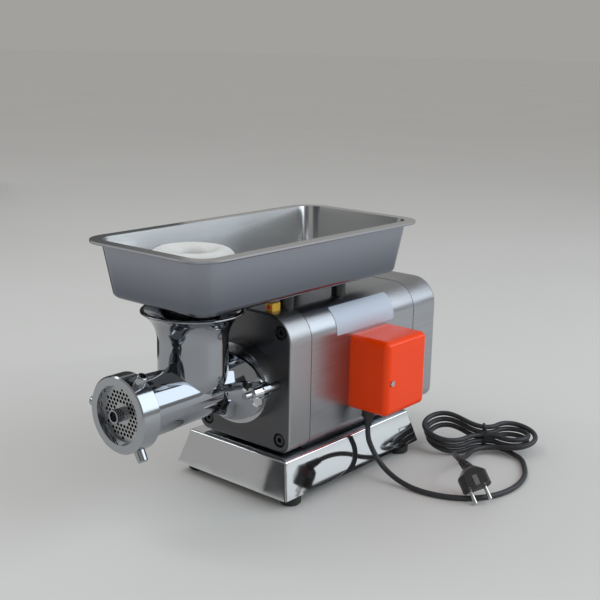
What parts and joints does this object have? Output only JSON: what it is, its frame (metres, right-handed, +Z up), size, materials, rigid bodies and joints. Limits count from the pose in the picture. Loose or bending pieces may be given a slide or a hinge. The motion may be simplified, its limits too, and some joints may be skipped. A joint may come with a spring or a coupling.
{
  "type": "electric meat grinder",
  "caption": "Table-top electric meat grinder: steel motor body on a sloping base, feed tray with pusher, grinding head with ring nut, side control box and mains lead.",
  "frame": {"origin": "middle of the machine's outline, lead and plug left out, on the surface it stands on", "axes": "+X across towards the control box, +Y along towards the motor's rear, +Z up"},
  "size_m": [0.3644, 0.5767, 0.3215],
  "materials": {
    "brushed_steel": "fine brushed along the body",
    "dark_satin_steel": "dark satin",
    "polished_steel": "mirror polished",
    "satin_steel": "satin",
    "bright_steel": "bright machined",
    "bearing_steel": "ground",
    "core_iron": "varnished laminations",
    "copper_wire": "varnished copper wire",
    "cast_aluminium": "as cast",
    "bronze": "plain bearing",
    "black_rubber": "matt",
    "black_plastic": "glossy",
    "cord_black": "soft sheath",
    "white_plastic": "moulded",
    "orange_plastic": "glossy",
    "yellow_plastic": "moulded",
    "red_plastic": "moulded"
  },
  "bodies": {
    "body": {"base_skirt": "polished_steel", "body_bolts": "bright_steel", "body_nuts": "bright_steel", "body_pad": "black_rubber", "bottom_plate": "cast_aluminium", "box_bracket": "cast_aluminium", "box_screw": "bright_steel", "cable_gland": "black_plastic", "capacitor": "black_plastic", "clamp_studs": "polished_steel", "control_box": "orange_plastic", "cord_hank": "cord_black", "cord_lead": "cord_black", "cord_tail": "cord_black", "cord_tie": "black_plastic", "end_shield": "cast_aluminium", "foot_screws": "bright_steel", "front_housing": "dark_satin_steel", "front_screws": "bright_steel", "gear_plate": "cast_aluminium", "grinder_head": "polished_steel", "hole_plate": "bright_steel", "joint_frame": "cast_aluminium", "layshaft_bearings": "bearing_steel", "main_shell": "brushed_steel", "motor_bearings": "bearing_steel", "motor_frame": "cast_aluminium", "motor_saddles": "cast_aluminium", "mounting_ring": "polished_steel", "output_bearings": "bearing_steel", "plug_body": "black_plastic", "plug_clips": "bright_steel", "plug_pins": "bright_steel", "rear_bush": "bronze", "rear_cover": "brushed_steel", "rear_screws": "bright_steel", "ring_screws": "bright_steel", "rubber_feet": "black_rubber", "shaft_seal": "black_rubber", "stator": "core_iron", "switch_block": "yellow_plastic", "tray_posts": "black_plastic", "windings": "copper_wire"},
    "rotor": {"motor_shaft": "bearing_steel", "rotor_core": "core_iron", "motor_pinion": "bearing_steel", "cooling_fan": "black_plastic"},
    "layshaft": {"layshaft": "bearing_steel", "layshaft_gear": "bearing_steel"},
    "auger_drive": {"output_shaft": "bearing_steel", "output_gear": "bearing_steel", "auger": "bright_steel", "cross_knife": "bright_steel"},
    "ring_nut": {"ring_nut": "polished_steel"},
    "wing_nut_left": {"wing_nut_left": "polished_steel"},
    "wing_nut_right": {"wing_nut_right": "polished_steel"},
    "hopper_tray": {"hopper_tray": "satin_steel"},
    "pusher": {"pusher": "white_plastic"},
    "stop_button": {"stop_button": "red_plastic"}
  },
  "joints": [
    {"name": "motor_spin", "type": "hinge", "parent": "body", "child": "rotor", "pos_m": [-0.018, 0.07, 0.144], "axis": [0, 1, 0], "continuous": true},
    {"name": "layshaft_spin", "type": "hinge", "parent": "body", "child": "layshaft", "pos_m": [-0.018, -0.02, 0.104], "axis": [0, 1, 0], "continuous": true},
    {"name": "auger_spin", "type": "hinge", "parent": "body", "child": "auger_drive", "pos_m": [-0.018, -0.15, 0.144], "axis": [0, 1, 0], "continuous": true},
    {"name": "ring_nut_turn", "type": "hinge", "parent": "body", "child": "ring_nut", "pos_m": [-0.018, -0.2385, 0.144], "axis": [0, 1, 0], "continuous": true},
    {"name": "wing_nut_left_turn", "type": "hinge", "parent": "body", "child": "wing_nut_left", "pos_m": [-0.075, -0.095, 0.144], "axis": [0, 1, 0], "continuous": true},
    {"name": "wing_nut_right_turn", "type": "hinge", "parent": "body", "child": "wing_nut_right", "pos_m": [0.039, -0.095, 0.144], "axis": [0, 1, 0], "continuous": true},
    {"name": "hopper_tray_lift", "type": "slide", "parent": "body", "child": "hopper_tray", "axis": [0, 0, 1], "range_m": [0, 0.15]},
    {"name": "pusher_lift", "type": "slide", "parent": "hopper_tray", "child": "pusher", "axis": [0, 0, 1], "range_m": [0, 0.15]},
    {"name": "stop_button_press", "type": "slide", "parent": "body", "child": "stop_button", "axis": [0, 1, 0], "range_m": [0, 0.0015], "stiffness_N_per_m": 400}
  ],
  "couplings": [
    {"joint": "layshaft_spin", "follows": "motor_spin", "ratio": -0.28},
    {"joint": "auger_spin", "follows": "motor_spin", "ratio": 0.15077}
  ]
}
